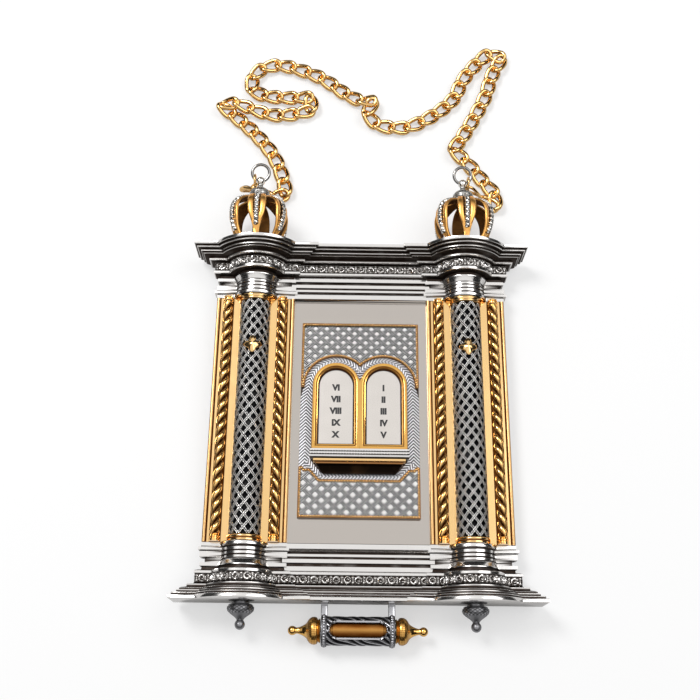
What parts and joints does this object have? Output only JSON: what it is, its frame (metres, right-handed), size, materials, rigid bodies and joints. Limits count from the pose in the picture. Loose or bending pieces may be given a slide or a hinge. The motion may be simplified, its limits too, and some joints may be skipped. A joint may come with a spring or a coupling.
{
  "type": "torah shield breastplate",
  "caption": "Ornamental scroll breastplate shaped as a small portico: columned pilasters, lattice plaque with arched tablets, openwork crowns, roller in a windowed sleeve, and neck chain.",
  "frame": {"origin": "middle of the shield's outline without its neck chain, on the flat back that it lies on", "axes": "+X to the right as the face is seen, +Y from the roller towards the crowns, +Z out of the decorated face"},
  "size_m": [0.2478, 0.4884, 0.048],
  "materials": {
    "silver": "polished silver plate with darkened recesses",
    "polished_silver": "mirror-polished flat panel",
    "oxidised_silver": "darkened silver lattice, bright on its wires",
    "gold": "polished gold plate",
    "steel": "plain screw steel"
  },
  "bodies": {
    "shield": {"back_cover": "silver", "cover_screw_1": "steel", "cover_screw_2": "steel", "cover_screw_3": "steel", "cover_screw_4": "steel", "body_plate": "silver", "cornice": "silver", "plinth": "silver", "centre_panel": "polished_silver", "left_pilaster_panel": "gold", "right_pilaster_panel": "gold", "left_lattice_column": "oxidised_silver", "right_lattice_column": "oxidised_silver", "left_column_collar_top": "gold", "left_column_collar_foot": "gold", "right_column_collar_top": "gold", "right_column_collar_foot": "gold", "left_column_boss": "gold", "right_column_boss": "gold", "left_outer_rope": "gold", "left_inner_rope": "gold", "right_outer_rope": "gold", "right_inner_rope": "gold", "engraved_surround": "oxidised_silver", "upper_border": "gold", "upper_lattice_plate": "oxidised_silver", "lower_border": "gold", "lower_lattice_plate": "oxidised_silver", "tablet_frame": "gold", "left_tablet": "silver", "right_tablet": "silver", "tablet_ledge": "silver", "ledge_bar": "gold", "ledge_corbel": "gold", "left_crown": "gold", "right_crown": "gold", "left_crown_cap": "silver", "right_crown_cap": "silver", "left_finial": "silver", "right_finial": "silver", "left_hanger": "silver", "right_hanger": "silver", "roller_sleeve": "silver", "neck_chain": "gold"},
    "roller": {"inner_roller": "gold", "left_knob": "gold", "right_knob": "gold"},
    "left_ring_body": {"left_ring": "silver"},
    "right_ring_body": {"right_ring": "silver"}
  },
  "joints": [
    {"name": "roller_turn", "type": "hinge", "parent": "shield", "child": "roller", "pos_m": [0, -0.16772, 0.011], "axis": [1, 0, 0], "continuous": true},
    {"name": "left_ring_swing", "type": "hinge", "parent": "shield", "child": "left_ring_body", "pos_m": [-0.07775, 0.16435, 0.0242], "axis": [1, 0, 0], "range_deg": [-40, 75]},
    {"name": "right_ring_swing", "type": "hinge", "parent": "shield", "child": "right_ring_body", "pos_m": [0.07775, 0.16435, 0.0242], "axis": [1, 0, 0], "range_deg": [-40, 75]}
  ]
}
